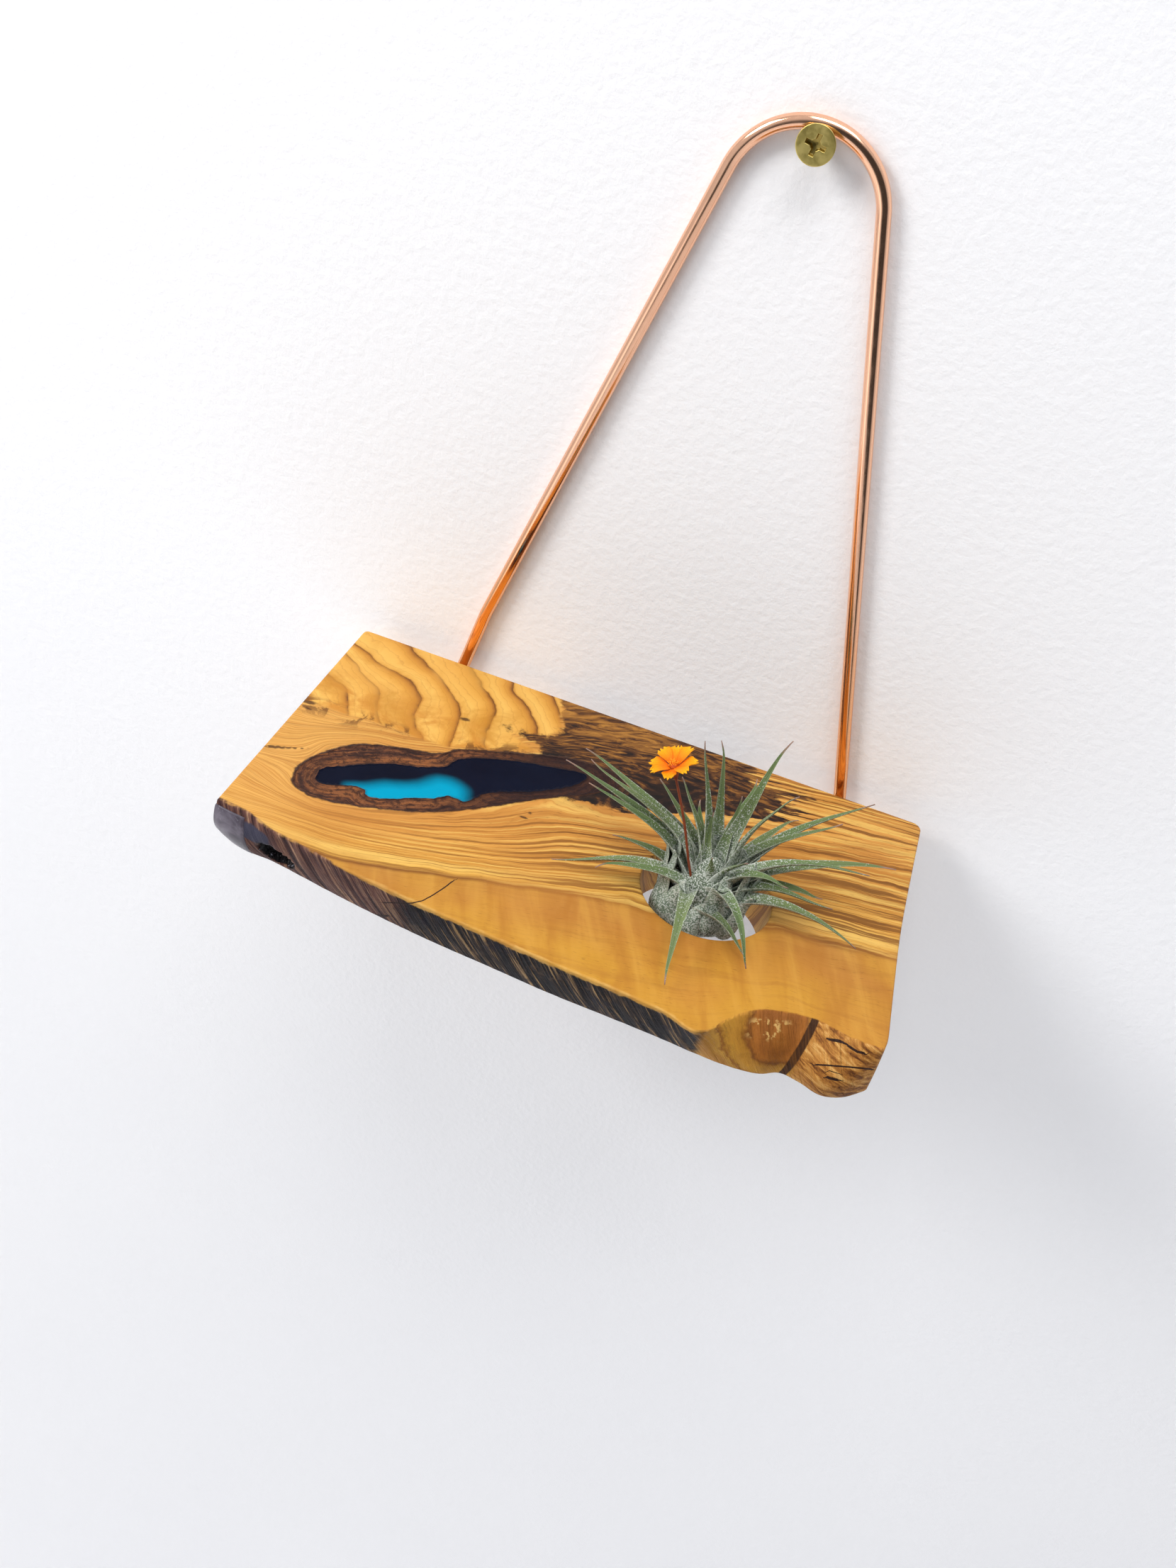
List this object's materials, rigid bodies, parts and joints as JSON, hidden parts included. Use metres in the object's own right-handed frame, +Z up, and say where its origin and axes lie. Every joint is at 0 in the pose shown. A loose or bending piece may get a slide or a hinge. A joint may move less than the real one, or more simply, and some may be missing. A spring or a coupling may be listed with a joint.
{
  "type": "air plant holder",
  "caption": "Small live-edge wooden shelf hung from a wall screw by a bent copper rod, with a resin inlay and an air plant standing in a round hole.",
  "frame": {"origin": "the point where the wall screw enters the wall, on the screw's axis", "axes": "+Y along the screw into the wall, +Z up, +X to the right seen from the front of the shelf"},
  "size_m": [0.156, 0.1276, 0.1652],
  "materials": {
    "screw_brass": "satin, slightly dulled",
    "copper": "polished copper",
    "epoxy": "clear set epoxy",
    "olive_wood": "oiled and polished olive wood with dark figure",
    "bark": "old bark sealed under the finish",
    "blue_resin": "polished cast resin",
    "dark_resin": "polished dark resin",
    "leaf_base": "silvery scaled leaf bases",
    "dry_root": "dry and fibrous",
    "leaf": "green with silvery scales",
    "dry_stem": "dry stem",
    "calyx": "dry calyx",
    "flower_disc": "matt",
    "petal": "matt, slightly translucent"
  },
  "bodies": {
    "screw": {"wall_screw": "screw_brass"},
    "holder": {"wood_slab": "olive_wood", "bark_rim": "bark", "resin_inlay": "blue_resin", "corner_resin": "dark_resin", "hanger_rod": "copper", "socket_epoxy_left": "epoxy", "socket_epoxy_right": "epoxy"},
    "air_plant": {"plant_core": "leaf_base", "root_stub": "dry_root", "leaf_01": "leaf", "leaf_02": "leaf", "leaf_03": "leaf", "leaf_04": "leaf", "leaf_05": "leaf", "leaf_06": "leaf", "leaf_07": "leaf", "leaf_08": "leaf", "leaf_09": "leaf", "leaf_10": "leaf", "leaf_11": "leaf", "leaf_12": "leaf", "leaf_13": "leaf", "leaf_14": "leaf", "leaf_15": "leaf", "leaf_16": "leaf", "leaf_17": "leaf", "leaf_18": "leaf", "leaf_19": "leaf", "leaf_20": "leaf", "leaf_21": "leaf", "leaf_22": "leaf", "leaf_23": "leaf", "leaf_24": "leaf", "leaf_25": "leaf", "leaf_26": "leaf", "leaf_27": "leaf", "leaf_28": "leaf", "leaf_29": "leaf", "leaf_30": "leaf", "leaf_31": "leaf", "leaf_32": "leaf"},
    "flower": {"flower_stem": "dry_stem", "flower_calyx": "calyx", "flower_disc": "flower_disc", "petal_1": "petal", "petal_2": "petal", "petal_3": "petal", "petal_4": "petal", "petal_5": "petal", "petal_6": "petal", "petal_7": "petal", "petal_8": "petal"}
  },
  "joints": [
    {"name": "swing", "type": "hinge", "parent": "screw", "child": "holder", "pos_m": [0, 0, 0], "axis": [0, 1, 0], "range_deg": [-20, 20]},
    {"name": "plant_lift", "type": "slide", "parent": "holder", "child": "air_plant", "axis": [0, 0, 1], "range_m": [0, 0.06]},
    {"name": "flower_pull", "type": "slide", "parent": "air_plant", "child": "flower", "axis": [-0.3665, 0, 0.9304], "range_m": [0, 0.035]}
  ]
}
